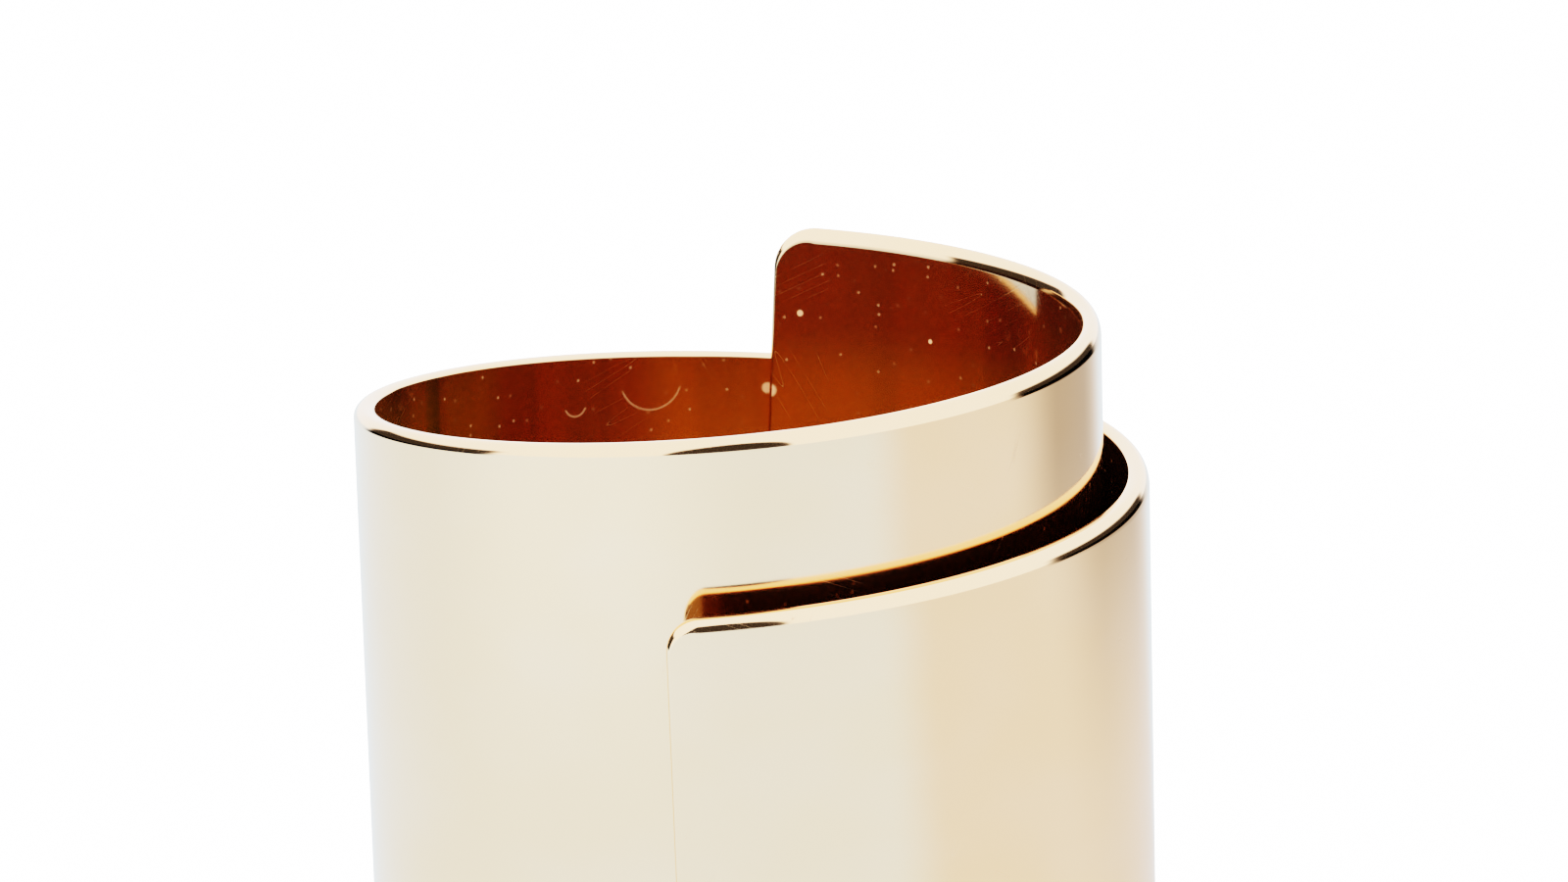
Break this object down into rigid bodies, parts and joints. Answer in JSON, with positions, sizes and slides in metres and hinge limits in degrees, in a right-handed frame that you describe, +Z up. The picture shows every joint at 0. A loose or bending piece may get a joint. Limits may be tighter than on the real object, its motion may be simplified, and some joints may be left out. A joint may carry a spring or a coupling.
{
  "type": "wrap ring",
  "caption": "Wide finger ring made of one polished strip of rose gold sheet with rounded corners, wound like a helix so that its ends overlap.",
  "frame": {"origin": "centre of the bounding box on its bottom plane, where the flat foot rests", "axes": "+Z up along the finger hole and the height of the band; +Y to the back, where the tall inner end of the strip stands; +X to the right, where the strip winds down first"},
  "size_m": [0.0198, 0.0208, 0.022],
  "materials": {
    "rose_gold": "mirror polished rose gold plate"
  },
  "bodies": {
    "root": {"wrapped_band": "rose_gold"}
  },
  "joints": []
}
